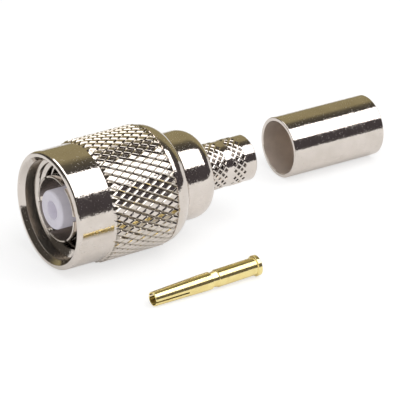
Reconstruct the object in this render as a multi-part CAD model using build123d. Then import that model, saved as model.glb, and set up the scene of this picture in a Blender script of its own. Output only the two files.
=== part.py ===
from build123d import *
import os
from math import atan2, ceil, cos, degrees, pi, sin, sqrt, tan

# Reverse polarity TNC plug with its loose crimp ferrule and loose socket contact, in millimetres.
# The plug's axis is X. X is 0 in the plane of the outer contact's tips and grows towards the cable.
# The nut's knurl, the ferrule and the contact all lie on one flat surface below the axis.

# Coupling nut, outside
nut_length = 15.95
tip_recess = 1.10        # from the nut's mouth back to the outer contact's tips
band_d = 14.20
band_length = 4.70
band_step = 0.25         # length of the cone between the smooth band and the knurl
knurl_d = 14.80
knurl_length = 8.55
shoulder_d = 11.50       # edge of the nut's rear face
mouth_round = 0.25

# Knurl of flat-topped diamonds, left between two crossed sets of V grooves
knurl_teeth = 48
knurl_pitch = 0.885      # along the axis, from one ring of diamonds to the next
knurl_depth = 0.12
knurl_land = 0.52        # share of each diamond that stays flat
knurl_chamfer = 0.10     # length of the chamfer at the rear
knurl_stock = 0.05       # what the knurling takes off the blank all over
dome_drop = 0.01         # the dome starts this far below the grooves

# Coupling nut, inside
mouth_d = 13.00
counterbore_d = 12.00
counterbore_depth = 1.90
mouth_chamfer = 0.45
thread_minor_d = 10.26
thread_lead = 0.40
thread_length = 6.20
relief_d = 11.60
lip_length = 0.95        # land in front of the ring groove
rear_land = 2.40         # land behind the ring groove
nut_groove_d = 11.20
nut_groove_width = 1.20

# Connector body
journal_d = 9.68
nut_clearance = 0.06     # radial running clearance of the nut
shoulder_gap = 0.10      # between the nut's rear face and the body's shoulder
barrel_d = 10.84
barrel_length = 4.25
barrel_round = 1.80      # length of the rounded rear edge
barrel_end_d = 8.57      # flat rear face of the barrel
stem_d = 5.62
stem_length = 7.43
stem_chamfer = 0.15
stem_bore_d = 4.00
body_groove_d = 8.60
body_groove_width = 1.10

# Retaining ring
ring_thickness = 0.90
ring_seat_gap = 0.08
ring_d = 10.80
ring_split = 1.20
ring_split_angle = 130.0

# Outer contact
tip_d = 8.00
tip_bore_d = 7.46
tip_round = 0.08
slot_count = 6
slot_width = 0.62
slot_length = 4.00
slot_angle = 27.0        # first slot, from straight up towards -Y
spring_length = 5.20     # depth of the wide bore
rim_depth = 8.20         # from the tips back to where the jack's rim lands
root_boss_d = 8.60
root_d = 7.40
root_length = 5.35

# Sealing gasket
gasket_d = 10.00
gasket_thickness = 0.90
gasket_round = 0.20
gasket_fit = 0.02

# Dielectric insert
nose_d = 4.71
nose_stand = 0.50        # the nose stands this far in front of the tips
nose_round = 0.22
nose_length = 6.70
insert_d = 6.40
press_fit = 0.01
entry_round = 0.12

# Socket contact
socket_length = 14.47
socket_tip_d = 1.72
socket_d = 2.11
taper_length = 6.60
socket_front = 7.79
front_round = 0.12
neck_d = 1.56
neck_length = 0.31
neck_cone = 0.66
flange_d = 2.50
flange_length = 0.64
flange_cone = 0.18
pin_bore_d = 1.40
pin_bore_depth = 5.80
wire_bore_d = 1.50
wire_bore_depth = 5.00
tine_slot_width = 0.17
tine_slot_length = 5.20
tine_slot_roll = 7.0
contact_fit = 0.055      # radial clearance of the contact in the dielectric
socket_x = 3.74
socket_y = -14.81

# Crimp ferrule
ferrule_d = 7.70
ferrule_wall = 0.46
ferrule_length = 13.38
ferrule_round = 0.12
ferrule_x = 36.32
ferrule_y = 6.60
ferrule_yaw = -1.2

# Places along the axis that several pieces share
mouth_x = -tip_recess
knurl_x = mouth_x + band_length + band_step
dome_x = knurl_x + knurl_length
nut_end_x = mouth_x + nut_length
shoulder_x = nut_end_x + shoulder_gap
barrel_end_x = shoulder_x + barrel_length
stem_end_x = barrel_end_x + stem_length
body_front_x = rim_depth + gasket_thickness
root_end_x = body_front_x + root_length
ring_x = nut_end_x - rear_land - nut_groove_width / 2
valley_r = knurl_d / 2 - knurl_depth
blank_r = knurl_d / 2 + knurl_stock
floor_z = -knurl_d / 2
nut_bore_r = journal_d / 2 + nut_clearance


def revolved(outline):
    return revolve(make_face(outline), Axis.X)


def turned(*points):
    return revolved(Polyline(*points, close=True))


def rims(piece, x, diameter):
    """Round edges of a turned piece at one place along the axis and one diameter."""
    near = [e for e in piece.edges().filter_by(GeomType.CIRCLE) if abs(e.center().X - x) < 0.001]
    return [e for e in near if abs(e.radius - diameter / 2) < 0.001]


def about_axis(piece, angle):
    """Turns a piece about the plug's axis, from straight up towards -Y."""
    return piece.rotate(Axis.X, angle)


def knurl_outline(points, steps):
    """A closed line through the same points at each step, half a tooth round from straight up towards -Y."""
    line = []
    for step in steps:
        across, up = sin(step * pi / knurl_teeth), cos(step * pi / knurl_teeth)
        line += [(x, y * up - z * across, y * across + z * up) for x, y, z in points]
    return Wire.make_polygon(line)


def make_knurl_grooves():
    """What the knurling takes away: a ring whose inside is a net of flat-topped diamonds."""
    ring_count = ceil((dome_x - mouth_x - band_length) / knurl_pitch)
    rear_x = dome_x + knurl_chamfer / 2
    front_x = rear_x - ring_count * knurl_pitch
    side_y, side_z = valley_r * sin(pi / knurl_teeth), valley_r * cos(pi / knurl_teeth)
    top_x = knurl_land * knurl_pitch
    top_z = sqrt((knurl_d / 2) ** 2 - (knurl_land * side_y) ** 2)
    # The side corners of the top lie where the flat flanks reach its height.
    rise = top_z - valley_r
    top_y = knurl_land * side_y * rise / (rise + (1 - knurl_land) * (valley_r - side_z))
    # Every other ring is turned by half a tooth.
    turns = [range(first, 2 * knurl_teeth, 2) for first in (0, 1)]

    faces = []
    for ring in range(ring_count + 1):
        x = front_x + ring * knurl_pitch
        ahead = [(x - top_x, 0, top_z)] if ring > 0 else []
        behind = [(x + top_x, 0, top_z)] if ring < ring_count else []
        facets = [[(x, top_y, top_z), *ahead, (x, -top_y, top_z), *behind]]
        for way in (-1, 1):
            if 0 <= ring + way <= ring_count:
                for side in (-1, 1):
                    groove = [(x + way * knurl_pitch, 0, valley_r), (x, side * side_y, side_z)]
                    facets.append([*groove, (x, side * top_y, top_z), (x + way * top_x, 0, top_z)])
        for step in turns[ring % 2]:
            faces += [Face(knurl_outline(facet, [step])) for facet in facets]

    # Outside the blank the ring is closed by a wall of flat strips and by its two ends.
    wall_z = knurl_d / 2 + 2 * knurl_stock
    wall_y = wall_z * tan(pi / knurl_teeth)
    corners = ((front_x, -1), (front_x, 1), (rear_x, 1), (rear_x, -1))
    strip = [(x, way * wall_y, wall_z) for x, way in corners]
    faces += [Face(knurl_outline(strip, [step])) for step in turns[0]]
    for x, turn in ((front_x, turns[0]), (rear_x, turns[ring_count % 2])):
        outside = knurl_outline([(x, wall_y, wall_z)], turns[0])
        inside = knurl_outline([(x, side_y, side_z), (x, top_y, top_z), (x, -top_y, top_z)], turn)
        faces.append(Face(outside, [inside]))
    return Solid(Shell(faces))


def make_coupling_nut():
    thread_x = mouth_x + counterbore_depth + thread_lead
    relief_x = thread_x + thread_length
    groove_front_x = ring_x - nut_groove_width / 2
    groove_rear_x = ring_x + nut_groove_width / 2
    outside = Polyline(
        (nut_end_x, nut_bore_r),
        (groove_rear_x, nut_bore_r),
        (groove_rear_x, nut_groove_d / 2),
        (groove_front_x, nut_groove_d / 2),
        (groove_front_x, nut_bore_r),
        (groove_front_x - lip_length, nut_bore_r),
        (groove_front_x - lip_length, relief_d / 2),
        (relief_x, relief_d / 2),
        (relief_x, thread_minor_d / 2),
        (thread_x, thread_minor_d / 2),
        (mouth_x + counterbore_depth, counterbore_d / 2),
        (mouth_x + mouth_chamfer, counterbore_d / 2),
        (mouth_x, mouth_d / 2),
        (mouth_x, band_d / 2),
        (mouth_x + band_length, band_d / 2),
        (knurl_x + knurl_stock * band_step / (knurl_d / 2 - band_d / 2), blank_r),
        (dome_x - knurl_chamfer, blank_r),
        (dome_x, valley_r - dome_drop),
    )
    # The shoulder leaves the grooves level with them and curves down to the rear face.
    dome = TangentArc((dome_x, valley_r - dome_drop), (nut_end_x, shoulder_d / 2), tangent=(1, 0))
    rear = Line((nut_end_x, shoulder_d / 2), (nut_end_x, nut_bore_r))
    nut = revolved([outside, dome, rear])
    return fillet(rims(nut, mouth_x, band_d), mouth_round) - make_knurl_grooves()


def make_connector_body():
    groove_front_x = ring_x - body_groove_width / 2
    groove_rear_x = ring_x + body_groove_width / 2
    front = Polyline(
        (barrel_end_x - barrel_round, barrel_d / 2),
        (shoulder_x, barrel_d / 2),
        (shoulder_x, journal_d / 2),
        (groove_rear_x, journal_d / 2),
        (groove_rear_x, body_groove_d / 2),
        (groove_front_x, body_groove_d / 2),
        (groove_front_x, journal_d / 2),
        (body_front_x, journal_d / 2),
        (body_front_x, root_d / 2 + press_fit),
        (root_end_x, root_d / 2 + press_fit),
        (root_end_x, stem_bore_d / 2),
        (stem_end_x, stem_bore_d / 2),
        (stem_end_x, stem_d / 2 - stem_chamfer),
        (stem_end_x - stem_chamfer, stem_d / 2),
        (barrel_end_x, stem_d / 2),
        (barrel_end_x, barrel_end_d / 2),
    )
    rounded_edge = EllipticalCenterArc(
        (barrel_end_x - barrel_round, barrel_end_d / 2),
        barrel_round,
        (barrel_d - barrel_end_d) / 2,
        start_angle=0,
        arc_size=90,
    )
    return revolved([front, rounded_edge])


def make_retaining_ring():
    bore_r = body_groove_d / 2 + ring_seat_gap
    front, rear = ring_x - ring_thickness / 2, ring_x + ring_thickness / 2
    ring = turned((front, bore_r), (rear, bore_r), (rear, ring_d / 2), (front, ring_d / 2))
    split = Box(2 * ring_thickness, ring_split, ring_d).translate((ring_x, 0, ring_d / 2))
    return ring - about_axis(split, ring_split_angle)


def make_outer_contact():
    sleeve = turned(
        (0, tip_bore_d / 2),
        (0, tip_d / 2),
        (rim_depth, tip_d / 2),
        (rim_depth, root_boss_d / 2),
        (body_front_x, root_boss_d / 2),
        (body_front_x, root_d / 2),
        (root_end_x, root_d / 2),
        (root_end_x, insert_d / 2 + press_fit),
        (spring_length, insert_d / 2 + press_fit),
        (spring_length, tip_bore_d / 2),
    )
    sleeve = fillet(rims(sleeve, 0, tip_d) + rims(sleeve, 0, tip_bore_d), tip_round)
    slot = Box(2 * slot_length, slot_width, tip_d).translate((0, 0, tip_d / 2))
    for n in range(slot_count):
        sleeve -= about_axis(slot, slot_angle + n * 360 / slot_count)
    return sleeve


def make_sealing_gasket():
    bore_r = root_boss_d / 2 + gasket_fit
    gasket = turned(
        (rim_depth, bore_r),
        (body_front_x, bore_r),
        (body_front_x, gasket_d / 2),
        (rim_depth, gasket_d / 2),
    )
    return fillet(rims(gasket, rim_depth, gasket_d) + rims(gasket, rim_depth, 2 * bore_r), gasket_round)


def make_dielectric_insert():
    front_x = -nose_stand
    seat_x = root_end_x - flange_length
    bore_d = socket_d + 2 * contact_fit
    insert = turned(
        (front_x, bore_d / 2),
        (front_x, nose_d / 2),
        (front_x + nose_length, nose_d / 2),
        (front_x + nose_length, insert_d / 2),
        (root_end_x, insert_d / 2),
        (root_end_x, flange_d / 2 + contact_fit),
        (seat_x, flange_d / 2 + contact_fit),
        (seat_x, bore_d / 2),
    )
    insert = fillet(rims(insert, front_x, nose_d), nose_round)
    return fillet(rims(insert, front_x, bore_d), entry_round)


def make_socket_contact():
    flange_x = socket_length - flange_length
    neck_end = socket_front + neck_length
    barrel_x = neck_end + neck_cone
    contact = turned(
        (0, pin_bore_d / 2),
        (0, socket_tip_d / 2),
        (taper_length, socket_d / 2),
        (socket_front, socket_d / 2),
        (socket_front, neck_d / 2),
        (neck_end, neck_d / 2),
        (barrel_x, socket_d / 2),
        (flange_x - flange_cone, socket_d / 2),
        (flange_x, flange_d / 2),
        (socket_length, flange_d / 2),
        (socket_length, wire_bore_d / 2),
        (socket_length - wire_bore_depth, wire_bore_d / 2),
        (socket_length - wire_bore_depth, 0),
        (pin_bore_depth, 0),
        (pin_bore_depth, pin_bore_d / 2),
    )
    contact = fillet(rims(contact, socket_front, socket_d), front_round)
    slot = Box(2 * tine_slot_length, 2 * socket_d, tine_slot_width)
    contact -= slot.rotate(Axis.X, tine_slot_roll)
    # It lies on its tip and its flange, so its axis climbs a little towards the flange.
    tilt = atan2((flange_d - socket_tip_d) / 2, flange_x)
    tip_z = floor_z + socket_tip_d / 2 * cos(tilt)
    return Location((socket_x, socket_y, tip_z), (0, -degrees(tilt), 0)) * contact


def make_crimp_ferrule():
    bore_r = ferrule_d / 2 - ferrule_wall
    tube = turned(
        (0, bore_r), (0, ferrule_d / 2), (ferrule_length, ferrule_d / 2), (ferrule_length, bore_r)
    )
    ends = rims(tube, 0, ferrule_d) + rims(tube, ferrule_length, ferrule_d)
    tube = fillet(ends, ferrule_round)
    lying_z = floor_z + ferrule_d / 2
    return Location((ferrule_x, ferrule_y, lying_z), (0, 0, ferrule_yaw)) * tube


pieces = {
    "coupling_nut": make_coupling_nut(),
    "connector_body": make_connector_body(),
    "retaining_ring": make_retaining_ring(),
    "outer_contact": make_outer_contact(),
    "sealing_gasket": make_sealing_gasket(),
    "dielectric_insert": make_dielectric_insert(),
    "socket_contact": make_socket_contact(),
    "crimp_ferrule": make_crimp_ferrule(),
}

os.makedirs("parts", exist_ok=True)
for name, piece in pieces.items():
    export_step(piece, f"parts/{name}.step")
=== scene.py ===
import math
import bmesh
import bpy
from mathutils import Matrix, Vector


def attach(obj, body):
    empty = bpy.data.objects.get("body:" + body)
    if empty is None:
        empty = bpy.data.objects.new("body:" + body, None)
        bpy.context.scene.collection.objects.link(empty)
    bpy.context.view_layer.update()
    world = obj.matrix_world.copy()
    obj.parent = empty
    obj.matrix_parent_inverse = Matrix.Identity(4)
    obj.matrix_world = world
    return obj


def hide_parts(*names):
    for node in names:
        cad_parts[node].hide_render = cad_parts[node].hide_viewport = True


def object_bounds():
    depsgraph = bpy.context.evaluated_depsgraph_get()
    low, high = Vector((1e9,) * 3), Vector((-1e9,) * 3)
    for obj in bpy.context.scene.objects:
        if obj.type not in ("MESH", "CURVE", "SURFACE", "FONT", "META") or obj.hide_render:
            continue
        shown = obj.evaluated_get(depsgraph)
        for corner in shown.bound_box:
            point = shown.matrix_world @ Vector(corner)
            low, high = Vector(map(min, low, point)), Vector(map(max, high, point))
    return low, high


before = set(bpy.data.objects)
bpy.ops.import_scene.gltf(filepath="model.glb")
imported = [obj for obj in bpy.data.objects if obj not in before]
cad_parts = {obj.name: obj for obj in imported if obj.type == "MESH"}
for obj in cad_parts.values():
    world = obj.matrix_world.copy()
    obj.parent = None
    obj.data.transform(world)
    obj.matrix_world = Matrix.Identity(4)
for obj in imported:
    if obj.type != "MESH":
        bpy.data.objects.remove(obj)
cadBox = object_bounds()
print("frame: loaded", len(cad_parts), "nodes")

mm = 0.001  # sizes in the dictionaries are millimetres, meshes are metres

# Places along the plug's axis that several pieces share
axisPlaces = {
    "mouth": -1.10,  # front face of the nut
    "tips": 0.0,  # plane of the outer contact's tips
    "rimStop": 8.20,  # where a jack's rim lands
    "bodyFront": 9.10,
    "ring": 11.85,  # middle of the retaining ring
    "rootEnd": 14.45,
    "nutEnd": 14.85,
    "shoulder": 14.95,
    "barrelEnd": 19.20,
    "stemEnd": 26.63,
}
floorHeight = cadBox[0].z
lyingHeight = -7.40  # millimetres, the knurl's radius below the axis: what the loose pieces lie on


def bothWays(operation):
    # a maths operator and its reflected form
    def plain(self, other):
        return self.tree.math(operation, self, other)

    def reflected(self, other):
        return self.tree.math(operation, other, self)
    return plain, reflected


class Wire:
    # One output of a node, which can be added, multiplied and compared

    def __init__(self, tree, socket):
        self.tree = tree
        self.socket = socket

    def __getitem__(self, output):
        # another output of the same node
        return Wire(self.tree, self.socket.node.outputs[output])

    __add__, __radd__ = bothWays("ADD")
    __sub__, __rsub__ = bothWays("SUBTRACT")
    __mul__, __rmul__ = bothWays("MULTIPLY")
    __truediv__, __rtruediv__ = bothWays("DIVIDE")
    __gt__, __lt__ = bothWays("GREATER_THAN")


class Tree:
    # A node tree, of a material, the world or Geometry Nodes

    def __init__(self, nodeTree):
        self.nodeTree = nodeTree
        nodeTree.nodes.clear()

    def node(self, kind, inputs=None, settings=None, output=0):
        made = self.nodeTree.nodes.new(kind)
        for name, value in (settings or {}).items():
            if name == "stops":
                self.setStops(made.color_ramp.elements, value)
            else:
                setattr(made, name, value)
        for name, value in (inputs or {}).items():
            if isinstance(value, Wire):
                self.nodeTree.links.new(value.socket, made.inputs[name])
            else:
                made.inputs[name].default_value = value
        return Wire(self, made.outputs[output]) if made.outputs else None

    def setStops(self, elements, stops):
        elements.remove(elements[-1])
        elements[0].position, elements[0].color = stops[0]
        for place, colour in stops[1:]:
            elements.new(place).color = colour

    def math(self, operation, first, second=0.0):
        return self.node("ShaderNodeMath", {0: first, 1: second}, {"operation": operation})

    def vector(self, operation, first, second):
        return self.node("ShaderNodeVectorMath", {0: first, 1: second}, {"operation": operation})

    def mix(self, factor, first, second):
        # blends two colours
        return self.node("ShaderNodeMix", {0: factor, 6: first, 7: second}, {"data_type": "RGBA"}, 2)

    def apart(self, vector):
        # a vector's X, with its Y and Z as the other outputs
        return self.node("ShaderNodeSeparateXYZ", {0: vector})

    def together(self, x, y=0.0, z=0.0):
        return self.node("ShaderNodeCombineXYZ", {"X": x, "Y": y, "Z": z})

    def show(self, shader, kind="Material"):
        self.node("ShaderNodeOutput" + kind, {"Surface": shader})

    def fromAxis(self, x):
        # distance from the X axis, from the separated coordinates
        y, z = x["Y"], x["Z"]
        return self.math("SQRT", y * y + z * z)

    def place(self):
        # Object coordinates in millimetres
        coordinates = self.node("ShaderNodeTexCoord")["Object"]
        return self.vector("MULTIPLY", coordinates, (1 / mm,) * 3)

    def noise(self, place, size, detail=2.0, stretch=(1, 1, 1)):
        # cloudy noise whose lumps are about this many millimetres
        stretched = self.vector("MULTIPLY", place, [s / size for s in stretch])
        return self.node("ShaderNodeTexNoise", {"Vector": stretched, "Scale": 1.0, "Detail": detail})

    def lines(self, value, size, detail=2.0):
        # noise along one number only, such as the marks of a lathe tool
        inputs = {"W": value / size, "Scale": 1.0, "Detail": detail}
        return self.node("ShaderNodeTexNoise", inputs, {"noise_dimensions": "1D"})

    def step(self, value, low, high):
        # 0 below low, 1 above high, straight between them
        inputs = {"Value": value, "From Min": low, "From Max": high}
        return self.node("ShaderNodeMapRange", inputs)

    def bump(self, height, depth, under=None):
        # height from 0 to 1 raises the surface by depth millimetres
        inputs = {"Height": height, "Distance": depth * mm}
        if under:
            inputs["Normal"] = under
        return self.node("ShaderNodeBump", inputs)


def newMaterial(name):
    material = bpy.data.materials.new(name)
    material.use_nodes = True
    return material, Tree(material.node_tree)


def finishMaterial(tree, inputs):
    tree.show(tree.node("ShaderNodeBsdfPrincipled", inputs))


# Bright nickel plate over turned brass
nickel = {
    "colour": (0.69, 0.63, 0.58, 1),
    "dull": (0.60, 0.545, 0.49, 1),
    # colour of the painted shade in the stem's pits
    "tarnish": (0.10, 0.085, 0.075, 1),
    "roughness": 0.08,
    "roughnessSpread": 0.07,
    "metallic": 1.0,
    "pitSize": 0.25,  # the plating's fine lumps
    "pitDepth": 0.008,
    "markSize": 0.09,  # lathe marks
    "markDepth": 0.0005,
    "scratchSize": 0.05,
    "scratchDepth": 0.0012,
    "scratchFrom": (0.66, 0.72),
    "scratchStretch": (0.05, 1, 1),
    "scratchTurn": (0.2, 0.35, 0.6),
    "patchSize": 2.4,
    "patchFrom": (0.35, 0.75),
    "scuffSize": 1.1,
    "scuffFrom": (0.50, 0.72),
    "fleckSize": 0.20,  # small dull spots in the plating
    "fleckFrom": (0.64, 0.72),
    "fleckRoughness": 0.20,
}

# The crimp stem's pits get painted shade: between these places along the axis, from the first to the second
# of these depths below the radius
stemNickel = dict(
    nickel,
    pitRadius=2.81,
    pitsBetween=(axisPlaces["barrelEnd"], axisPlaces["stemEnd"] + 1),
    tarnishFrom=0.03,
    tarnishFull=0.12,
)

# The grooves of the nut's knurl get a lighter painted shade, but not its two end cones
knurlNickel = dict(
    nickel,
    pitRadius=7.40,
    pitsBetween=(3.86, 12.30),
    tarnishFrom=0.01,
    tarnishFull=0.09,
    # lighter colour of the painted shade in the knurl's grooves
    tarnish=(0.37, 0.33, 0.28, 1),
)

# The same plating inside the bores, where it isn't polished; the first is also darker, as painted shade
# inside the bores
boreNickel = dict(
    nickel,
    # these darker colours are painted shade inside the bores of the nut, the body and the outer contact
    colour=(0.58, 0.53, 0.47, 1),
    dull=(0.48, 0.43, 0.38, 1),
    roughness=0.22,
    metallic=0.90,
    fleckRoughness=0.0,
)
tubeBore = dict(
    nickel,
    colour=(0.74, 0.65, 0.57, 1),
    dull=(0.58, 0.50, 0.45, 1),
    roughness=0.34,
    metallic=0.5,
    fleckRoughness=0.0,
)


def makeNickel(name, values, turnedOnAxis):
    material, tree = newMaterial(name)
    place = tree.place()
    x = tree.apart(place)
    patches = tree.noise(place, values["patchSize"], 3.0)
    pits = tree.noise(place, values["pitSize"], 1.0)
    scuffs = tree.step(tree.noise(place, values["scuffSize"], 4.0), *values["scuffFrom"])
    marks = tree.lines(x, values["markSize"])
    if turnedOnAxis:
        # faces square to the axis carry rings
        radius = tree.fromAxis(x)
        marks = (marks + tree.lines(radius, values["markSize"])) / 2
    turned = tree.node("ShaderNodeMapping", {"Vector": place, "Rotation": values["scratchTurn"]})
    scratches = tree.noise(turned, values["scratchSize"], 1.0, values["scratchStretch"])
    scratches = tree.step(scratches, *values["scratchFrom"])
    surface = tree.bump(pits, values["pitDepth"])
    surface = tree.bump(marks, values["markDepth"], surface)
    surface = tree.bump(1 - scratches * scuffs, values["scratchDepth"], surface)
    flecks = tree.step(tree.noise(place, values["fleckSize"], 1.0), *values["fleckFrom"])
    roughness = values["roughness"] + values["roughnessSpread"] * scuffs + values["fleckRoughness"] * flecks
    colour = tree.mix(tree.step(patches, *values["patchFrom"]), values["colour"], values["dull"])
    # painted shade: the deeper a pit or groove lies below the radius, the darker it is painted
    if "pitRadius" in values:
        first, last = values["pitsBetween"]
        within = (x > first) * (x < last)
        depth = values["pitRadius"] - radius
        deep = tree.step(depth, values["tarnishFrom"], values["tarnishFull"])
        colour = tree.mix(deep * within, colour, values["tarnish"])
    finishMaterial(tree, {
        "Base Color": colour,
        "Metallic": values["metallic"],
        "Roughness": roughness,
        "Normal": surface,
    })
    return material


# Gold plate over the turned socket contact
gold = {
    "colour": (0.86, 0.73, 0.34, 1),
    "deep": (0.78, 0.62, 0.25, 1),
    "roughness": 0.13,
    "metallic": 0.92,
    "markSize": 0.06,
    "markDepth": 0.0006,
    "pitSize": 0.10,
    "pitDepth": 0.0008,
    "patchSize": 1.3,
    "deepFrom": (0.4, 0.75),  # patches of the deeper colour
    "dullFrom": (0.45, 0.8),  # rougher patches
    "dullRoughness": 0.10,
}


def makeGold(name, values):
    material, tree = newMaterial(name)
    place = tree.place()
    x = tree.apart(place)
    patches = tree.noise(place, values["patchSize"], 3.0)
    surface = tree.bump(tree.lines(x, values["markSize"]), values["markDepth"])
    surface = tree.bump(tree.noise(place, values["pitSize"]), values["pitDepth"], surface)
    deep = tree.step(patches, *values["deepFrom"])
    finishMaterial(tree, {
        "Base Color": tree.mix(deep, values["colour"], values["deep"]),
        "Metallic": values["metallic"],
        "Roughness": values["roughness"] + values["dullRoughness"] * tree.step(patches, *values["dullFrom"]),
        "Normal": surface,
    })
    return material


# White fluoropolymer of the dielectric insert
fluoropolymer = {
    "colour": (0.56, 0.535, 0.59, 1),
    "shade": (0.52, 0.50, 0.55, 1),
    # painted glow: an emission in this colour and strength stands in for light that comes through the
    # plastic
    "inner": (0.84, 0.80, 0.89, 1),
    "roughness": 0.42,
    "translucency": 0.19,  # light that comes through from all round
    "markSize": 0.12,
    "markDepth": 0.0012,
    "cloudSize": 1.6,
    "cloudFrom": (0.4, 0.7),
    "grainSize": 0.08,
    "grainDepth": 0.0012,
    "grainRoughness": 0.12,
}


def makeFluoropolymer(name, values):
    material, tree = newMaterial(name)
    place = tree.place()
    x = tree.apart(place)
    rings = (tree.lines(tree.fromAxis(x), values["markSize"]) + tree.lines(x, values["markSize"])) / 2
    clouds = tree.step(tree.noise(place, values["cloudSize"], 4.0), *values["cloudFrom"])
    grain = tree.noise(place, values["grainSize"])
    surface = tree.bump(rings, values["markDepth"])
    finishMaterial(tree, {
        "Base Color": tree.mix(clouds, values["colour"], values["shade"]),
        # painted glow: the insert is lit from within, as if light came through it
        "Emission Color": values["inner"],
        "Emission Strength": values["translucency"],
        "Roughness": values["roughness"] + values["grainRoughness"] * grain,
        "Normal": tree.bump(grain, values["grainDepth"], surface),
    })
    return material


# Silicone of the sealing gasket
silicone = {
    "colour": (0.045, 0.042, 0.042, 1),
    "dust": (0.11, 0.105, 0.10, 1),
    "dustSize": 0.35,
    "dustFrom": (0.55, 0.75),
    "roughness": 0.55,
    "dustRoughness": 0.25,
    "grainSize": 0.1,
    "grainDepth": 0.004,
}


def makeSilicone(name, values):
    material, tree = newMaterial(name)
    place = tree.place()
    dust = tree.step(tree.noise(place, values["dustSize"], 5.0), *values["dustFrom"])
    finishMaterial(tree, {
        "Base Color": tree.mix(dust, values["colour"], values["dust"]),
        "Roughness": values["roughness"] + values["dustRoughness"] * dust,
        "Normal": tree.bump(tree.noise(place, values["grainSize"], 3.0), values["grainDepth"]),
    })
    return material


# Spring bronze of the retaining ring
bronze = {
    "colour": (0.62, 0.42, 0.24, 1),
    "tarnish": (0.36, 0.22, 0.12, 1),
    "tarnishSize": 0.8,
    "tarnishFrom": (0.4, 0.7),
    "roughness": 0.22,
    "tarnishRoughness": 0.2,
    "drawSize": 0.12,  # drawing marks along the wire
    "drawDepth": 0.0015,
    "drawStretch": (6, 1, 1),
}


def makeBronze(name, values):
    material, tree = newMaterial(name)
    place = tree.place()
    tarnish = tree.step(tree.noise(place, values["tarnishSize"], 4.0), *values["tarnishFrom"])
    draw = tree.noise(place, values["drawSize"], 3.0, values["drawStretch"])
    finishMaterial(tree, {
        "Base Color": tree.mix(tarnish, values["colour"], values["tarnish"]),
        "Metallic": 1.0,
        "Roughness": values["roughness"] + values["tarnishRoughness"] * tarnish,
        "Normal": tree.bump(draw, values["drawDepth"]),
    })
    return material


materials = {
    "nickel": makeNickel("nickelPlate", nickel, True),
    "knurlNickel": makeNickel("knurlNickelPlate", knurlNickel, True),
    "stemNickel": makeNickel("stemNickelPlate", stemNickel, True),
    "tubeNickel": makeNickel("ferruleNickelPlate", nickel, False),
    "boreNickel": makeNickel("shadedBoreNickelPlate", boreNickel, True),
    "tubeBore": makeNickel("ferruleBorePlate", tubeBore, False),
    "gold": makeGold("goldPlate", gold),
    "fluoropolymer": makeFluoropolymer("whiteFluoropolymer", fluoropolymer),
    "silicone": makeSilicone("darkSilicone", silicone),
    "bronze": makeBronze("springBronze", bronze),
}
print("materials:", len(materials))


def meshOf(name, bm):
    mesh = bpy.data.meshes.new(name)
    bm.to_mesh(mesh)
    bm.free()
    return mesh


def placed(name, data):
    made = bpy.data.objects.new(name, data)
    bpy.context.collection.objects.link(made)
    return made


holdShare = 0.3  # of the round's size


def rounded(*corners, steps=4):
    # An outline in x and radius, in which a corner's third number is the size of its round.
    # One more point close to each end of a round keeps its shading off the straight beside it.
    places = [Vector(corner[:2]) for corner in corners]
    sizes = [corner[2] if len(corner) > 2 else 0 for corner in corners]
    count = len(corners)
    sides = [(places[n - 1] - places[n], places[(n + 1) % count] - places[n]) for n in range(count)]
    halves = [before.angle(after) / 2 if size else 1 for size, (before, after) in zip(sizes, sides)]
    reaches = [size / math.tan(half) for size, half in zip(sizes, halves)]
    line = []
    for n, (here, size, half, reach) in enumerate(zip(places, sizes, halves, reaches)):
        if not size:
            line.append(here)
            continue
        before, after = sides[n][0].normalized(), sides[n][1].normalized()
        centre = here + (before + after).normalized() * size / math.sin(half)
        start, end = here + before * reach - centre, here + after * reach - centre
        hold = holdShare * size
        if sides[n][0].length - reach - reaches[n - 1] > 3 * hold:
            line.append(here + before * (reach + hold))
        line += [centre + start.slerp(end, step / steps) * size for step in range(steps + 1)]
        if sides[n][1].length - reach - reaches[(n + 1) % count] > 3 * hold:
            line.append(here + after * (reach + hold))
    return line


def evenly(count):
    # the same angles at every radius
    angles = [turn * 2 * math.pi / count for turn in range(count)]
    return lambda radius: angles


def turnOutline(bm, line, angles, closed=True):
    # Turns an outline about the X axis, from straight up towards -Y. Returns its rings of vertices.
    rings = []
    for x, radius in line:
        if radius < 1e-6:
            rings.append([bm.verts.new((x * mm, 0, 0))])
            continue
        ring = [(x, -radius * math.sin(a), radius * math.cos(a)) for a in angles(radius)]
        rings.append([bm.verts.new([c * mm for c in place]) for place in ring])
    count = max(len(ring) for ring in rings)
    for n in range(len(rings) if closed else len(rings) - 1):
        near, far = rings[n], rings[(n + 1) % len(rings)]
        if len(near) == len(far) == 1:
            continue
        for turn in range(count):
            after = (turn + 1) % count
            corners = [near[turn % len(near)], near[after % len(near)]]
            corners += [far[after % len(far)], far[turn % len(far)]]
            bm.faces.new(list(dict.fromkeys(corners)))
    return rings


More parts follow.
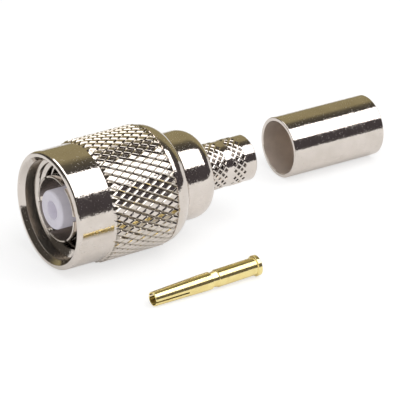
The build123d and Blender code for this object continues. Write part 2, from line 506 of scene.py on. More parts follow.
def cutSlots(bm, line, rings, slots, reach):
    # Opens slots, each between two stations of the rings, from the front back to the corners at reach
    inSlot = [n for n, corner in enumerate(line) if corner[0] <= reach + 1e-6]
    # the outline goes round the tip, so the corners in the slot follow each other from one wall to the other
    first = next(n for n in inSlot if (n - 1) % len(line) not in inSlot)
    corners = [(first + n) % len(line) for n in range(len(inSlot))]
    for left, right in slots:
        cut = range(left, right)
        inside = set()
        for near, far in zip(corners, corners[1:]):
            for turn in cut:
                after = (turn + 1) % len(rings[near])
                walls = rings[near], rings[far]
                inside.add(frozenset(wall[station] for wall in walls for station in (turn, after)))
        gone = [face for face in bm.faces if frozenset(face.verts) in inside]
        bmesh.ops.delete(bm, geom=gone, context="FACES")
        for station in (left, right % len(rings[first])):
            bm.faces.new([rings[n][station] for n in corners])
        near, far = rings[corners[0]], rings[corners[-1]]
        stations = [turn % len(near) for turn in range(left, right + 1)]
        bm.faces.new([near[n] for n in stations] + [far[n] for n in reversed(stations)])
    # edges that bounded only removed faces go too
    loose = [edge for edge in bm.edges if not edge.link_faces]
    bmesh.ops.delete(bm, geom=loose, context="EDGES")
    bare = [vertex for vertex in bm.verts if not vertex.link_faces]
    bmesh.ops.delete(bm, geom=bare, context="VERTS")


def rimAt(bm, x, maxRadius=1000, minRadius=0):
    # the open edges in one plane across the axis
    def near(vertex):
        radius = math.hypot(vertex.co.y, vertex.co.z) / mm
        return abs(vertex.co.x / mm - x) < 1e-3 and minRadius < radius < maxRadius
    return [edge for edge in bm.edges if edge.is_boundary and all(near(vertex) for vertex in edge.verts)]


def trimmed(mesh, front, rear):
    # keeps what lies between two planes across the axis
    bm = bmesh.new()
    bm.from_mesh(mesh)
    for x, outer in ((front, False), (rear, True)):
        everything = bm.verts[:] + bm.edges[:] + bm.faces[:]
        bmesh.ops.bisect_plane(
            bm, geom=everything, dist=1e-7, plane_co=(x * mm, 0, 0), plane_no=(1, 0, 0),
            clear_outer=outer, clear_inner=not outer)
    bm.to_mesh(mesh)
    bm.free()
    return mesh


sharpAngle = 34  # edges that turn further stay sharp


def finishPiece(name, bm, finishes, body, replaced, move=None, innerLimit=-0.85):
    # Makes the finished object from a closed mesh and hangs it on its body.
    # The second finish, where there is one, is for the faces that look towards the axis:
    # their normal's share away from it is below innerLimit.
    bmesh.ops.recalc_face_normals(bm, faces=bm.faces[:])
    openEdges = [edge for edge in bm.edges if not edge.is_manifold]
    for edge in bm.edges:
        edge.smooth = edge.smooth and edge.is_manifold and edge.calc_face_angle() < math.radians(sharpAngle)
    for face in bm.faces:
        face.smooth = True
        outward = face.calc_center_median()
        outward.x = 0
        inside = face.normal.dot(outward) < innerLimit * outward.length
        face.material_index = 1 if inside and len(finishes) > 1 else 0
    if move:
        bm.transform(move)
    mesh = meshOf(name, bm)
    for finish in finishes:
        mesh.materials.append(materials[finish])
    piece = placed(name, mesh)
    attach(piece, body)
    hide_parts(replaced)
    print("piece:", name, len(mesh.polygons), "faces,", len(openEdges), "open edges")


weldDistance = 0.001 * mm


def newGeometryTree(name, whole, real):
    # A tree that takes a geometry, whole numbers and real numbers
    group = bpy.data.node_groups.new(name, "GeometryNodeTree")
    group.interface.new_socket("Geometry", in_out="OUTPUT", socket_type="NodeSocketGeometry")
    inputs = {"Geometry": ["Geometry"], "Int": whole, "Float": real}
    for kind, labels in inputs.items():
        for label in labels:
            group.interface.new_socket(label, in_out="INPUT", socket_type="NodeSocket" + kind)
    tree = Tree(group)
    return group, tree, tree.node("NodeGroupInput")


def grown(name, tile, group, values):
    # Runs a geometry tree on a tile and returns the plain mesh that comes out
    holder = placed(name, tile)
    modifier = holder.modifiers.new(name, "NODES")
    modifier.node_group = group
    for item in group.interface.items_tree:
        if item.in_out == "INPUT" and item.name in values:
            modifier[item.identifier] = values[item.name]
    graph = bpy.context.evaluated_depsgraph_get()
    mesh = bpy.data.meshes.new_from_object(holder.evaluated_get(graph))
    holder.modifiers.remove(modifier)
    bpy.data.objects.remove(holder)
    return mesh


def makeKnurlTree():
    # Lays diamond tiles flat, x along the axis and y as turns, then wraps them round the axis
    group, tree, given = newGeometryTree(
        "knurlNet", ["Columns", "Around", "First Cut", "Last Cut", "Bare From", "Bare To", "Seed"],
        ["Start", "Pitch", "Radius", "Shallowest",
         "Front Place", "Front Radius", "Front Slope", "Rear Place", "Rear Radius", "Rear Slope"])
    around = given["Around"]
    index = tree.node("GeometryNodeInputIndex")
    column = tree.math("FLOOR", (index + 0.5) / around)
    row = index - column * around
    everyOther = tree.math("MODULO", column, 2.0)
    flat = tree.together(given["Start"] + column * given["Pitch"], (row + everyOther / 2) / around)
    points = tree.node("GeometryNodePoints", {"Count": given["Columns"] * around, "Position": flat})
    between = (column > given["First Cut"] - 0.5) * (column < given["Last Cut"] + 0.5)
    bare = (column > given["Bare From"] - 0.5) * (column < given["Bare To"] + 0.5)
    chance = tree.node("FunctionNodeRandomValue", {
        "Min": given["Shallowest"], "Max": 1.0, "ID": index, "Seed": given["Seed"],
    }, {"data_type": "FLOAT"}, "Value")
    points = tree.node("GeometryNodeStoreNamedAttribute", {
        "Geometry": points, "Name": "cutDepth", "Value": between * (1 - bare) * chance,
    })
    size = tree.together(given["Pitch"], 1 / around, 1.0)
    tiles = tree.node("GeometryNodeInstanceOnPoints", {
        "Points": points, "Instance": given["Geometry"], "Scale": size,
    })
    tiles = tree.node("GeometryNodeRealizeInstances", {"Geometry": tiles})
    cutDepth = tree.node("GeometryNodeInputNamedAttribute", {"Name": "cutDepth"})
    x = tree.apart(tree.node("GeometryNodeInputPosition"))
    # hollows differ from tile to tile, ridges fade only along the axis, so that the tiles still meet
    share = (x - given["Start"]) / given["Pitch"]
    ends = tree.math("MINIMUM", share - given["First Cut"] + 1, given["Last Cut"] + 1 - share)
    gap = tree.math("MAXIMUM", given["Bare From"] - share, share - given["Bare To"])
    ridge = tree.math("MAXIMUM", tree.math("MINIMUM", tree.math("MINIMUM", ends, gap), 1.0), 0.0)
    height = x["Z"]
    raised, hollow = tree.math("MAXIMUM", height, 0.0), tree.math("MINIMUM", height, 0.0)
    radius = given["Radius"] + raised * ridge + hollow * cutDepth
    frontCone = given["Front Radius"] + (x - given["Front Place"]) * given["Front Slope"]
    rearCone = given["Rear Radius"] + (given["Rear Place"] - x) * given["Rear Slope"]
    radius = tree.math("MINIMUM", radius, tree.math("MINIMUM", frontCone, rearCone))
    angle = x["Y"] * (2 * math.pi)
    wrapped = tree.together(x, -1 * radius * tree.math("SINE", angle), radius * tree.math("COSINE", angle))
    tiles = tree.node("GeometryNodeSetPosition", {"Geometry": tiles, "Position": wrapped})
    tiles = tree.node("GeometryNodeMergeByDistance", {"Geometry": tiles, "Distance": weldDistance})
    tree.node("NodeGroupOutput", {0: tiles})
    return group


def makeThreadTree():
    # Repeats a short length of thread round a helix on the X axis
    group, tree, given = newGeometryTree(
        "threadTurns", ["Steps"], ["Turns", "Start", "Pitch", "Lead Place", "Lead Radius", "Lead Slope"])
    index = tree.node("GeometryNodeInputIndex")
    turns = index / given["Steps"]
    along = tree.together(given["Start"] + turns * given["Pitch"])
    count = given["Steps"] * given["Turns"]
    points = tree.node("GeometryNodePoints", {"Count": count, "Position": along})
    turn = tree.together(turns * (2 * math.pi))
    tiles = tree.node("GeometryNodeInstanceOnPoints", {
        "Points": points, "Instance": given["Geometry"], "Rotation": turn,
    })
    tiles = tree.node("GeometryNodeRealizeInstances", {"Geometry": tiles})
    tiles = tree.node("GeometryNodeMergeByDistance", {"Geometry": tiles, "Distance": weldDistance})
    # the lead-in cone cuts the first turns away
    x = tree.apart(tree.node("GeometryNodeInputPosition"))
    cone = given["Lead Radius"] - (x - given["Lead Place"]) * given["Lead Slope"]
    widen = tree.math("MAXIMUM", cone / tree.fromAxis(x), 1.0)
    cleared = tree.together(x, x["Y"] * widen, x["Z"] * widen)
    tiles = tree.node("GeometryNodeSetPosition", {"Geometry": tiles, "Position": cleared})
    tree.node("NodeGroupOutput", {0: tiles})
    return group


def diamondTile(name, crossStations, longStations, height):
    # One diamond of a knurl, flat: x from -1 to 1, y from -0.5 to 0.5
    bm = bmesh.new()
    rows = []
    for a in crossStations:
        rows.append([bm.verts.new((a + b, (a - b) / 2, height(a, b) * mm)) for b in longStations])
    for near, far in zip(rows, rows[1:]):
        for j in range(len(longStations) - 1):
            a, b, c, d = near[j], far[j], far[j + 1], near[j + 1]
            # a face that isn't level is split so that the slanting edges stay sharp
            if abs(a.co.z + c.co.z - b.co.z - d.co.z) < 1e-9:
                bm.faces.new((a, b, c, d))
            elif a.co.z + c.co.z < b.co.z + d.co.z:
                bm.faces.new((a, b, c))
                bm.faces.new((a, c, d))
            else:
                bm.faces.new((a, b, d))
                bm.faces.new((b, c, d))
    return meshOf(name, bm)


knurlTree = makeKnurlTree()
threadTree = makeThreadTree()

# Coupling nut
nut = {
    "bandRadius": 7.10,
    "bandEnd": 3.60,
    "mouthRound": 0.40,
    "mouthRadius": 6.50,
    "counterboreRadius": 6.00,
    "mouthChamfer": 0.60,
    "threadLead": (0.80, 1.20),  # from the counterbore to full thread
    "threadMinorRadius": 5.13,
    "threadMajorRadius": 5.556,
    "threadPitch": 0.907,
    "threadCrest": 0.30,
    "threadRoot": 0.113,
    "threadEnd": 7.40,
    "threadSteps": 72,
    "threadTurns": 9.0,
    "reliefRadius": 5.80,
    "lipFront": 10.30,
    "boreRadius": 4.90,
    "grooveRadius": 5.60,
    "grooveHalfWidth": 0.60,
    "rearEdgeRadius": 5.75,
    "teeth": 48,
    "knurlRadius": 7.40,
    "knurlStart": 3.60,  # first ring of diamonds
    "knurlPitch": 0.885,
    "knurlRings": 11,
    # Flanks of the grooves: where each starts, as a share of a diamond, and its groove's depth
    "steepFlank": (0.30, 0.165),  # both flanks of the grooves that run down towards the rear
    "gentleFlank": (0.30, 0.087),  # upper flank of the grooves that cross them
    "shortFlank": (0.38, 0.087),  # lower flank of the same
    "edge": 0.02,  # half the width of the worn edge of a flat
    "crispAngle": 12,
    "coneSlope": 1.2,
    "knurlEnd": 12.40,
    "chamferSlope": 1.8,
    "domeStartRadius": 7.27,
    "domeSteps": 16,
    # Widths of the strips that join the knurl and the thread to the turned outline
    "bandSeam": 0.05,
    "domeSeam": 0.03,
    "threadSeam": 0.05,
}


def grooveDepth(reach, flank):
    start, depth = flank
    return max(0, depth * (reach - start) / (0.5 - start))


def knurlHeight(cross, long):
    # the deeper of the two grooves that meet at a point of the diamond
    crossing = nut["gentleFlank"] if cross < 0 else nut["shortFlank"]
    return -max(grooveDepth(abs(cross), crossing), grooveDepth(abs(long), nut["steepFlank"]))


def threadTile():
    # one pitch of the internal thread over one step round the axis, following the helix
    angle = 2 * math.pi / nut["threadSteps"]
    pitch, crest, root = nut["threadPitch"], nut["threadCrest"], nut["threadRoot"]
    flankEnd = crest + (pitch - crest - root) / 2
    minor, major = nut["threadMinorRadius"], nut["threadMajorRadius"]
    outline = [(0, minor), (crest, minor), (flankEnd, major), (flankEnd + root, major), (pitch, minor)]
    bm = bmesh.new()
    sides = []
    for step in (0, 1):
        ahead, turn = pitch * step / nut["threadSteps"], angle * step
        side = [(x + ahead, -r * math.sin(turn), r * math.cos(turn)) for x, r in outline]
        sides.append([bm.verts.new([c * mm for c in place]) for place in side])
    for n in range(len(outline) - 1):
        bm.faces.new((sides[0][n], sides[0][n + 1], sides[1][n + 1], sides[1][n]))
    return meshOf("threadTile", bm)


def makeCouplingNut():
    edge = nut["edge"]
    steep, gentle, short = nut["steepFlank"][0], nut["gentleFlank"][0], nut["shortFlank"][0]
    long = [-0.5, -steep - edge, -steep + edge, steep - edge, steep + edge, 0.5]
    cross = [-0.5, -gentle - edge, -gentle + edge, short - edge, short + edge, 0.5]
    knurl = grown("nutKnurl", diamondTile("knurlDiamond", cross, long, knurlHeight), knurlTree, {
        "Columns": nut["knurlRings"], "Around": nut["teeth"],
        "Start": nut["knurlStart"] * mm, "Pitch": nut["knurlPitch"] * mm, "Radius": nut["knurlRadius"] * mm,
        "First Cut": 0, "Last Cut": nut["knurlRings"], "Bare From": -2, "Bare To": -1,
        "Shallowest": 1.0, "Seed": 1,
        "Front Place": nut["bandEnd"] * mm, "Front Radius": nut["bandRadius"] * mm,
        "Front Slope": nut["coneSlope"],
        "Rear Place": nut["knurlEnd"] * mm, "Rear Radius": nut["domeStartRadius"] * mm,
        "Rear Slope": nut["chamferSlope"],
    })
    lead, full = nut["threadLead"]
    leadSlope = (nut["counterboreRadius"] - nut["threadMinorRadius"]) / (full - lead)
    threadFront = lead + nut["threadSeam"]
    thread = grown("nutThread", threadTile(), threadTree, {
        "Steps": nut["threadSteps"], "Turns": nut["threadTurns"], "Start": (lead - nut["threadPitch"]) * mm,
        "Pitch": nut["threadPitch"] * mm,
        "Lead Place": lead * mm, "Lead Radius": nut["counterboreRadius"] * mm, "Lead Slope": leadSlope,
    })
    bm = bmesh.new()
    bm.from_mesh(trimmed(knurl, nut["bandEnd"], nut["knurlEnd"]))
    for side in bm.edges:
        side.smooth = side.is_manifold and side.calc_face_angle() < math.radians(nut["crispAngle"])
    bm.from_mesh(trimmed(thread, threadFront, nut["threadEnd"]))

    bandRim, domeRim = nut["bandEnd"] - nut["bandSeam"], nut["knurlEnd"] + nut["domeSeam"]
    angles = evenly(4 * nut["teeth"])
    mouth = axisPlaces["mouth"]
    mouthLine = rounded(
        (bandRim, nut["bandRadius"]),
        (bandRim - 0.06, nut["bandRadius"]),
        (mouth, nut["bandRadius"], nut["mouthRound"]),
        (mouth, nut["mouthRadius"], 0.04),
        (mouth + nut["mouthChamfer"], nut["counterboreRadius"], 0.08),
        (lead, nut["counterboreRadius"]),
    )
    turnOutline(bm, mouthLine, angles, closed=False)
    ring, groove = axisPlaces["ring"], nut["grooveHalfWidth"]
    end = axisPlaces["nutEnd"]
    rear = rounded(
        (nut["threadEnd"], nut["reliefRadius"]),
        (nut["lipFront"], nut["reliefRadius"]),
        (nut["lipFront"], nut["boreRadius"], 0.06),
        (ring - groove, nut["boreRadius"]),
        (ring - groove, nut["grooveRadius"]),
        (ring + groove, nut["grooveRadius"]),
        (ring + groove, nut["boreRadius"]),
        (end, nut["boreRadius"], 0.08),
        (end, nut["rearEdgeRadius"]),
    )
    # the dome is an arc that leaves the knurl level and ends at the rear face
    length, drop = end - nut["knurlEnd"], nut["domeStartRadius"] - nut["rearEdgeRadius"]
    bend = (length ** 2 + drop ** 2) / (2 * drop)
    sweep = math.asin(length / bend)
    startSweep = math.asin((domeRim - nut["knurlEnd"]) / bend)
    for step in range(nut["domeSteps"] - 1, -1, -1):
        angle = startSweep + (sweep - startSweep) * step / nut["domeSteps"]
        rear.append((nut["knurlEnd"] + bend * math.sin(angle),
                     nut["domeStartRadius"] - bend * (1 - math.cos(angle))))
    turnOutline(bm, rear, angles, closed=False)

    split = (nut["threadMajorRadius"] + nut["reliefRadius"]) / 2
    for rims in (
        rimAt(bm, bandRim) + rimAt(bm, nut["bandEnd"]),
        rimAt(bm, nut["knurlEnd"]) + rimAt(bm, rear[-1][0]),
        rimAt(bm, lead) + rimAt(bm, threadFront),
        rimAt(bm, nut["threadEnd"], maxRadius=split) + rimAt(bm, nut["threadEnd"], minRadius=split),
    ):
        bmesh.ops.bridge_loops(bm, edges=rims)
    finishPiece("couplingNut", bm, ["knurlNickel", "boreNickel"], "nut", "coupling_nut")


# Connector body, turned in one piece with the knurled crimp stem
body = {
    "journalRadius": 4.84,
    "grooveRadius": 4.30,
    "grooveHalfWidth": 0.55,
    "socketRadius": 3.71,
    "stemBoreRadius": 2.00,
    "barrelRadius": 5.42,
    "barrelRound": 1.80,
    "barrelEndRadius": 4.285,
    "stemRadius": 2.81,
    "stemChamfer": 0.15,
    "pitsStart": 19.40,  # first, still bare, column of the net
    "pitPitch": 0.45,
    "pitColumns": 15,
    "pitsAround": 18,
    # Height over the stem at these shares of a tile from the middle of a pit: its floor, rim and ridge
    "pitHeights": {0.0: -0.15, 0.17: -0.15, 0.28: 0.0, 0.40: 0.035, 0.50: 0.045},
    "cutColumns": (2, 12),
    "bareColumns": (7, 8),
    "shallowestPit": 0.7,  # share of the full depth
    "pitSeed": 5,
    "netTrim": 0.05,  # cut off at each end of the net
    "netSeam": 0.04,  # strip that joins it to the turned outline
    "rearSteps": 16,
}


def pitHeight(cross, long):
    return body["pitHeights"][max(abs(cross), abs(long))]


def makeConnectorBody():
    shares = [share for share in body["pitHeights"] if share]
    stations = [-share for share in reversed(shares)] + shares
    stem = grown("stemKnurl", diamondTile("stemPit", stations, stations, pitHeight), knurlTree, {
        "Columns": body["pitColumns"], "Around": body["pitsAround"],
        "Start": body["pitsStart"] * mm, "Pitch": body["pitPitch"] * mm, "Radius": body["stemRadius"] * mm,
        "First Cut": body["cutColumns"][0], "Last Cut": body["cutColumns"][1],
        "Bare From": body["bareColumns"][0], "Bare To": body["bareColumns"][1],
        "Shallowest": body["shallowestPit"], "Seed": body["pitSeed"],
        "Front Place": 0.0, "Front Radius": 1.0, "Front Slope": 0.0,
        "Rear Place": 0.0, "Rear Radius": 1.0, "Rear Slope": 0.0,
    })
    netFront = body["pitsStart"] + body["netTrim"]
    netRear = body["pitsStart"] + (body["pitColumns"] - 1) * body["pitPitch"] - body["netTrim"]
    bm = bmesh.new()
    bm.from_mesh(trimmed(stem, netFront, netRear))

    ring, groove = axisPlaces["ring"], body["grooveHalfWidth"]
    shoulder, barrelEnd, stemEnd = axisPlaces["shoulder"], axisPlaces["barrelEnd"], axisPlaces["stemEnd"]
    front, rootEnd = axisPlaces["bodyFront"], axisPlaces["rootEnd"]
    stemRadius, chamfer = body["stemRadius"], body["stemChamfer"]
    frontRim, rearRim = netFront - body["netSeam"], netRear + body["netSeam"]
    line = rounded(
        (frontRim, stemRadius),
        (barrelEnd, stemRadius, 0.06),
        (barrelEnd, body["barrelEndRadius"]),
    )
    drop = body["barrelRadius"] - body["barrelEndRadius"]
    for step in range(1, body["rearSteps"] + 1):
        angle = step / body["rearSteps"] * math.pi / 2
        line.append((barrelEnd - body["barrelRound"] * (1 - math.cos(angle)),
                     body["barrelEndRadius"] + drop * math.sin(angle)))
    line += rounded(
        (barrelEnd - body["barrelRound"] - 0.1, body["barrelRadius"]),
        (shoulder, body["barrelRadius"], 0.08),
        (shoulder, body["journalRadius"]),
        (ring + groove, body["journalRadius"]),
        (ring + groove, body["grooveRadius"]),
        (ring - groove, body["grooveRadius"]),
        (ring - groove, body["journalRadius"]),
        (front, body["journalRadius"], 0.12),
        (front, body["socketRadius"]),
        (rootEnd, body["socketRadius"]),
        (rootEnd, body["stemBoreRadius"]),
        (stemEnd, body["stemBoreRadius"], 0.05),
        (stemEnd, stemRadius - chamfer),
        (stemEnd - chamfer, stemRadius),
        (rearRim, stemRadius),
    )
    turnOutline(bm, line, evenly(9 * body["pitsAround"]), closed=False)
    bmesh.ops.bridge_loops(bm, edges=rimAt(bm, netFront) + rimAt(bm, frontRim))
    bmesh.ops.bridge_loops(bm, edges=rimAt(bm, netRear) + rimAt(bm, rearRim))
    finishPiece("connectorBody", bm, ["stemNickel", "boreNickel"], "plug", "connector_body")


def slotStations(count, width, first, between):
    # Angles in which every slot keeps its width at any radius. Each slot takes two steps.
    def angles(radius):
        half = math.asin(width / 2 / radius)
        found = []
        for slot in range(count):
            middle = first + slot * 2 * math.pi / count
            found += [middle - half, middle]
            clear = 2 * math.pi / count - 2 * half
            found += [middle + half + clear * step / between for step in range(between)]
        return found
    perSlot = between + 2
    return angles, [(slot * perSlot, slot * perSlot + 2) for slot in range(count)]


# Slotted outer contact
sleeve = {
    "tipRadius": 4.00,
    "tipBoreRadius": 3.73,
    "tipRound": 0.125,
    "slots": 6,
    "slotWidth": 0.62,
    "slotLength": 4.00,
    "slotAngle": 27.0,  # first slot, from straight up towards -Y
    "springLength": 5.20,
    "bossRadius": 4.30,
    "rootRadius": 3.70,
    "seatRadius": 3.21,
    "stepsBetween": 18,  # round the axis, from one slot to the next
}


def makeOuterContact():
    tips, rimStop, front = axisPlaces["tips"], axisPlaces["rimStop"], axisPlaces["bodyFront"]
    rootEnd = axisPlaces["rootEnd"]
    line = rounded(
        (sleeve["slotLength"], sleeve["tipBoreRadius"]),
        (tips, sleeve["tipBoreRadius"], sleeve["tipRound"]),
        (tips, sleeve["tipRadius"], sleeve["tipRound"]),
        (sleeve["slotLength"], sleeve["tipRadius"]),
        (rimStop, sleeve["tipRadius"]),
        (rimStop, sleeve["bossRadius"], 0.05),
        (front, sleeve["bossRadius"]),
        (front, sleeve["rootRadius"]),
        (rootEnd, sleeve["rootRadius"]),
        (rootEnd, sleeve["seatRadius"]),
        (sleeve["springLength"], sleeve["seatRadius"]),
        (sleeve["springLength"], sleeve["tipBoreRadius"]),
    )
    first = math.radians(sleeve["slotAngle"])
    angles, slots = slotStations(
        sleeve["slots"], sleeve["slotWidth"], first, sleeve["stepsBetween"])
    bm = bmesh.new()
    rings = turnOutline(bm, line, angles)
    cutSlots(bm, line, rings, slots, sleeve["slotLength"])
    finishes = ["nickel", "boreNickel"]
    finishPiece("outerContact", bm, finishes, "plug", "outer_contact", innerLimit=0.3)


# Dielectric insert
insert = {
    "noseFront": -0.50,
    "noseRadius": 2.355,
    "noseRound": 0.22,
    "noseLength": 6.70,
    "radius": 3.20,
    "boreRadius": 1.11,
    "entryRound": 0.12,
    "flangeSeatRadius": 1.305,
    "flangeSeat": 13.81,
    "edgeRound": 0.1,
    "sides": 128,
}


def makeDielectricInsert():
    rootEnd, noseEnd = axisPlaces["rootEnd"], insert["noseFront"] + insert["noseLength"]
    line = rounded(
        (insert["noseFront"], insert["boreRadius"], insert["entryRound"]),
        (insert["noseFront"], insert["noseRadius"], insert["noseRound"]),
        (noseEnd, insert["noseRadius"]),
        (noseEnd, insert["radius"], insert["edgeRound"]),
        (rootEnd, insert["radius"], insert["edgeRound"]),
        (rootEnd, insert["flangeSeatRadius"]),
        (insert["flangeSeat"], insert["flangeSeatRadius"]),
        (insert["flangeSeat"], insert["boreRadius"]),
        steps=6,
    )
    bm = bmesh.new()
    turnOutline(bm, line, evenly(insert["sides"]))
    finishPiece("dielectricInsert", bm, ["fluoropolymer"], "plug", "dielectric_insert")


# Loose socket contact, which lies on its tip and its flange
socket = {
    "place": (3.74, -14.81),
    "length": 14.47,
    "tipRadius": 0.86,
    "radius": 1.055,
    "taperLength": 6.60,
    "frontEnd": 7.79,
    "frontRound": 0.04,
    "neckRadius": 0.82,  # the neck widens up to a collar
    "collarRadius": 0.98,
    "collarEnd": 8.66,
    "collarStep": 0.07,
    "flangeRadius": 1.25,
    "flangeLength": 0.46,
    "flangeCone": 0.09,
    "pinBoreRadius": 0.70,
    "pinBoreDepth": 5.80,
    "wireBoreRadius": 0.75,
    "wireBoreDepth": 5.00,
    "slotWidth": 0.19,
    "slotLength": 4.45,
    "slotRoll": 7.0,
    "stepsBetween": 34,  # round the axis, from one end of the slot to the other
    "drillTip": 0.2,  # length of the cone at the end of each bore
}


def makeSocketContact():
    end, radius = socket["length"], socket["radius"]
    flange = end - socket["flangeLength"]
    taper = (radius - socket["tipRadius"]) / socket["taperLength"]
    slotEnd = socket["slotLength"]
    line = rounded(
        (slotEnd, socket["pinBoreRadius"]),
        (0, socket["pinBoreRadius"], 0.05),
        (0, socket["tipRadius"], 0.07),
        (slotEnd, socket["tipRadius"] + taper * slotEnd),
        (socket["taperLength"], radius),
        (socket["frontEnd"], radius, socket["frontRound"]),
        (socket["frontEnd"], socket["neckRadius"]),
        (socket["collarEnd"], socket["collarRadius"]),
        (socket["collarEnd"] + socket["collarStep"], radius, 0.03),
        (flange - socket["flangeCone"], radius),
        (flange, socket["flangeRadius"], 0.04),
        (end, socket["flangeRadius"], 0.05),
        (end, socket["wireBoreRadius"], 0.04),
        (end - socket["wireBoreDepth"], socket["wireBoreRadius"]),
        (end - socket["wireBoreDepth"] - socket["drillTip"], 0),
        (socket["pinBoreDepth"] + socket["drillTip"], 0),
        (socket["pinBoreDepth"], socket["pinBoreRadius"]),
    )
    # the slot's two ends face -Y and +Y, so the first is a quarter turn from straight up
    roll = math.radians(90 + socket["slotRoll"])
    angles, slots = slotStations(2, socket["slotWidth"], roll, socket["stepsBetween"])
    bm = bmesh.new()
    rings = turnOutline(bm, line, angles)
    cutSlots(bm, line, rings, slots, slotEnd)
    tilt = math.atan2(socket["flangeRadius"] - socket["tipRadius"], flange)
    x, y = socket["place"]
    z = lyingHeight + socket["tipRadius"] * math.cos(tilt)
    move = Matrix.Translation((x * mm, y * mm, z * mm)) @ Matrix.Rotation(-tilt, 4, "Y")
    finishPiece("socketContact", bm, ["gold"], "plug", "socket_contact", move)


# Loose crimp ferrule
ferrule = {
    "place": (36.32, 6.60),
    "yaw": -1.2,
    "radius": 3.85,
    "wall": 0.46,
    "length": 13.38,
    "outerRound": 0.12,
    "innerRound": 0.08,
    "sides": 160,
}


def makeCrimpFerrule():
    radius, length = ferrule["radius"], ferrule["length"]
    bore = radius - ferrule["wall"]
    line = rounded(
        (0, bore, ferrule["innerRound"]),
        (0, radius, ferrule["outerRound"]),
        (length, radius, ferrule["outerRound"]),
        (length, bore, ferrule["innerRound"]),
    )
    bm = bmesh.new()
    turnOutline(bm, line, evenly(ferrule["sides"]))
    x, y = ferrule["place"]
    z = lyingHeight + radius
    turn = Matrix.Rotation(math.radians(ferrule["yaw"]), 4, "Z")
    move = Matrix.Translation((x * mm, y * mm, z * mm)) @ turn
    finishPiece("crimpFerrule", bm, ["tubeNickel", "tubeBore"], "plug", "crimp_ferrule", move)


makeCouplingNut()
makeConnectorBody()
makeOuterContact()
makeDielectricInsert()
makeSocketContact()
makeCrimpFerrule()
for node, material in (("sealing_gasket", "silicone"), ("retaining_ring", "bronze")):
    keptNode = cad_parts[node]
    keptNode.data.materials.clear()
    keptNode.data.materials.append(materials[material])
    print("kept:", node)

# Studio: a white floor, a soft light above the front and dark cards that only the metal sees
studio = {
    "floorSize": 3000,
    "cardRadius": 330,
    "cardReach": (-700, 1500),
    "cardEdge": 92,  # angle from straight up at which the cards end
    "lightRadius": 300,
    "lightReach": (-60, 330),
    "lightFrom": 5.0,  # angles from straight up towards the front
    "lightTo": 51.0,
    "lightStrength": 3.2,
    "overheadReach": (-75, 90),
    "overheadFrom": -35.0,
    "worldLevel": 0.60,
    "lampPower": 0.55,
    "floorGlow": 0.66,  # what the camera sees, apart from the shadows
    "mirroredGlow": 0.22,  # the same in reflections
    "lampSize": (0.33, 0.25),  # metres
    "lampPlace": (0.06, 0.32),  # along the axis and away from it
    "lampTowards": (0.02, 0, 0),
    "paper": (0.86, 0.86, 0.86, 1),
    "paperSeen": (0.42, 0.42, 0.42, 1),
    "paperMirrored": (0.85, 0.85, 0.85, 1),
    "dark": (0.075, 0.068, 0.06, 1),
    "oliveFrom": (-0.13, -0.03),  # metres, where the olive card takes over from the dark one
    # Colours round the axis, from straight behind at 0 over the top to straight in front at 1
    "cardColours": [
        (0.0, (0.34, 0.295, 0.165, 1)),
        (0.12, (0.39, 0.338, 0.19, 1)),
        (0.33, (0.39, 0.338, 0.19, 1)),
        (0.41, (0.13, 0.115, 0.08, 1)),
        (0.50, (0.075, 0.068, 0.06, 1)),
        (0.80, (0.082, 0.072, 0.078, 1)),
        (0.95, (0.076, 0.067, 0.073, 1)),
        (1.0, (0.12, 0.11, 0.11, 1)),
    ],
}


def reflectedRays(tree):
    # 1 for the rays that see the white background
    path = tree.node("ShaderNodeLightPath")
    rays = path["Is Camera Ray"] + path["Is Glossy Ray"] + path["Is Transmission Ray"]
    return tree.math("MINIMUM", rays, 1.0)


def makeArc(name, material, radius, reach, fromAngle, toAngle, steps=48):
    # a bent card round the plug's axis
    bm = bmesh.new()
    rows = []
    for step in range(steps + 1):
        angle = math.radians(fromAngle + (toAngle - fromAngle) * step / steps)
        y, z = -radius * math.sin(angle), radius * math.cos(angle)
        rows.append([bm.verts.new((x * mm, y * mm, z * mm)) for x in reach])
    for near, far in zip(rows, rows[1:]):
        bm.faces.new((near[0], near[1], far[1], far[0]))
    card = placed(name, meshOf(name, bm))
    card.data.materials.append(material)
    card.visible_camera = card.visible_diffuse = card.visible_shadow = False
    card.visible_transmission = card.visible_volume_scatter = False


def makeCards():
    material, tree = newMaterial("cardColours")
    x = tree.apart(tree.node("ShaderNodeTexCoord")["Object"])
    angle = tree.math("ARCTAN2", -1 * x["Y"], x["Z"]) * (180 / math.pi)
    edge = studio["cardEdge"]
    share = (angle + edge) / (2 * edge)
    colours = tree.node("ShaderNodeValToRGB", {"Fac": share}, {"stops": studio["cardColours"]})
    # the olive card ends a little in front of the plug
    colours = tree.mix(tree.step(x, *studio["oliveFrom"]), studio["dark"], colours)
    tree.show(tree.node("ShaderNodeEmission", {"Color": colours}))
    makeArc("surroundCard", material, studio["cardRadius"], studio["cardReach"], -edge, edge)

    material, tree = newMaterial("softLightFront")
    tree.show(tree.node("ShaderNodeEmission", {"Strength": studio["lightStrength"]}))
    radius, front = studio["lightRadius"], studio["lightFrom"]
    makeArc("softLight", material, radius, studio["lightReach"], front, studio["lightTo"])
    makeArc("overheadLight", material, radius, studio["overheadReach"], studio["overheadFrom"], front)


def glowingPaper(tree, colour, strength):
    paper = tree.node("ShaderNodeBsdfDiffuse", {"Color": colour})
    glow = tree.node("ShaderNodeEmission", {"Strength": strength})
    return tree.node("ShaderNodeAddShader", {0: paper, 1: glow})


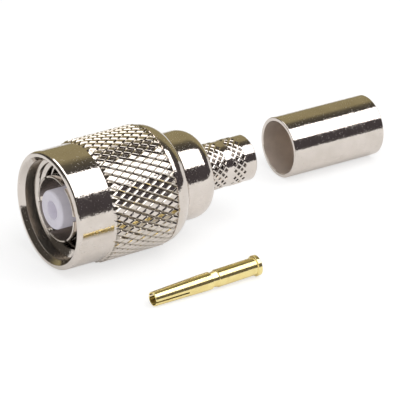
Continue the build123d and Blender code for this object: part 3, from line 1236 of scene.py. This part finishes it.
def makeFloor():
    half = studio["floorSize"] / 2 * mm
    mesh = bpy.data.meshes.new("floor")
    corners = [(x * half, y * half, floorHeight) for x, y in ((-1, -1), (1, -1), (1, 1), (-1, 1))]
    mesh.from_pydata(corners, [], [(0, 1, 2, 3)])
    floor = placed("floor", mesh)
    material, tree = newMaterial("whiteFloor")
    paper = tree.node("ShaderNodeBsdfDiffuse", {"Color": studio["paper"]})
    bright = glowingPaper(tree, studio["paperSeen"], studio["floorGlow"])
    mirrored = glowingPaper(tree, studio["paperMirrored"], studio["mirroredGlow"])
    path = tree.node("ShaderNodeLightPath")
    seen = path["Is Camera Ray"] + path["Is Transmission Ray"]
    shown = tree.node("ShaderNodeMixShader", {0: path["Is Glossy Ray"], 1: paper, 2: mirrored})
    shown = tree.node("ShaderNodeMixShader", {0: seen, 1: shown, 2: bright})
    tree.show(shown)
    mesh.materials.append(material)


def makeWorld():
    world = bpy.data.worlds.new("studioWorld")
    world.use_nodes = True
    bpy.context.scene.world = world
    tree = Tree(world.node_tree)
    plain = tree.node("ShaderNodeBackground", {"Color": (1, 1, 1, 1), "Strength": studio["worldLevel"]})
    white = tree.node("ShaderNodeBackground", {"Color": (1, 1, 1, 1)})
    shown = tree.node("ShaderNodeMixShader", {0: reflectedRays(tree), 1: plain, 2: white})
    tree.show(shown, "World")


def makeLamp():
    # the same soft light for everything that isn't shiny
    lamp = bpy.data.lights.new("softLamp", "AREA")
    lamp.shape = "RECTANGLE"
    lamp.size, lamp.size_y = studio["lampSize"]
    lamp.energy = studio["lampPower"]
    holder = placed("softLamp", lamp)
    angle = math.radians((studio["lightFrom"] + studio["lightTo"]) / 2)
    along, away = studio["lampPlace"]
    holder.location = Vector((along, -away * math.sin(angle), away * math.cos(angle)))
    towards = Vector(studio["lampTowards"]) - holder.location
    holder.rotation_euler = towards.to_track_quat("-Z", "Y").to_euler()
    holder.visible_glossy = holder.visible_camera = False


# The photograph's viewpoint
photoView = {
    "place": (-164.6, -275.32, 149.35),
    "towards": (0.5058, 0.7536, -0.4198),
    "lens": 274.25,
    "sensor": 36.0,
    "sees": (0.01, 10.0),  # metres, nearest and farthest
}


def makeCamera():
    data = bpy.data.cameras.new("photoCamera")
    data.lens, data.sensor_width = photoView["lens"], photoView["sensor"]
    data.clip_start, data.clip_end = photoView["sees"]
    camera = placed("photoCamera", data)
    camera.location = Vector(photoView["place"]) * mm
    camera.rotation_euler = Vector(photoView["towards"]).to_track_quat("-Z", "Y").to_euler()
    bpy.context.scene.camera = camera


makeCards()
makeFloor()
makeWorld()
makeLamp()
makeCamera()
bpy.context.scene.view_settings.view_transform = "Standard"
print("studio: ready")

bpy.context.view_layer.update()
